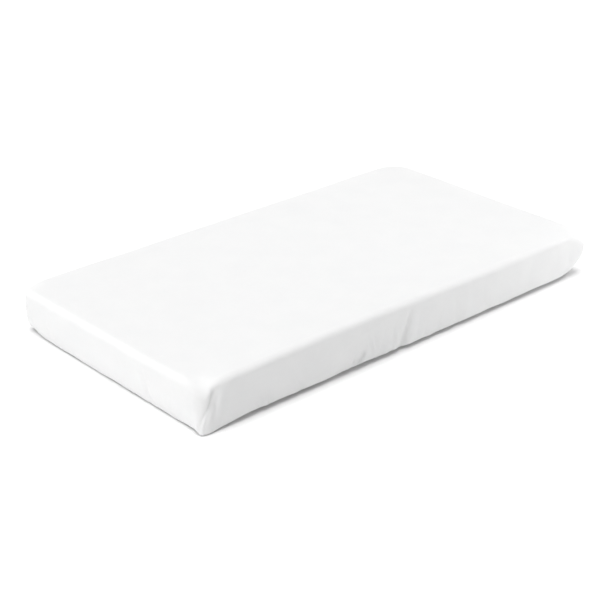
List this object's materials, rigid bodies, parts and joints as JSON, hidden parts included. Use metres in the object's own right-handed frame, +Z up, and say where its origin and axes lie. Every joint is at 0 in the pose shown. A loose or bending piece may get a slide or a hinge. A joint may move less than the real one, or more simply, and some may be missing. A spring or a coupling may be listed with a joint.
{
  "type": "changing pad",
  "caption": "Flat rectangular foam changing pad in a smooth fitted cover with an elastic hem, over a zipped inner case.",
  "frame": {"origin": "on the surface that the pad rests on, below the middle of the pad", "axes": "+X along the pad's length, +Y across its width, +Z up out of the face that a baby lies on"},
  "size_m": [0.786, 0.43, 0.07],
  "materials": {
    "cover_cloth": "matte",
    "elastic": "matte",
    "label_cloth": "satin",
    "case_cloth": "satin",
    "grip_rubber": "matte",
    "foam": "matte",
    "zip_tape": "matte",
    "zip_coil": "satin",
    "zip_metal": "satin"
  },
  "bodies": {
    "pad": {"foam_core": "foam", "case_top_panel": "case_cloth", "case_boxing": "case_cloth", "case_bottom_front": "case_cloth", "case_bottom_rear": "case_cloth", "case_label": "label_cloth", "grip_dots": "grip_rubber", "zip_tape_front": "zip_tape", "zip_tape_rear": "zip_tape", "zip_coil_front": "zip_coil", "zip_coil_rear": "zip_coil", "zip_top_stops": "zip_metal", "zip_bottom_stop": "zip_metal", "zip_end_tabs": "zip_tape", "fitted_cover": "cover_cloth", "hem_elastic": "elastic", "cover_corner_seams": "cover_cloth", "cover_label": "label_cloth"},
    "zip_slider": {"zip_slider": "zip_metal"},
    "zip_pull": {"zip_pull": "zip_metal"}
  },
  "joints": [
    {"name": "zip_slide", "type": "slide", "parent": "pad", "child": "zip_slider", "axis": [-1, 0, 0], "range_m": [0, 0.539]},
    {"name": "pull_flip", "type": "hinge", "parent": "zip_slider", "child": "zip_pull", "pos_m": [0.2695, 0, 0.00145], "axis": [0, -1, 0], "range_deg": [0, 180]}
  ]
}
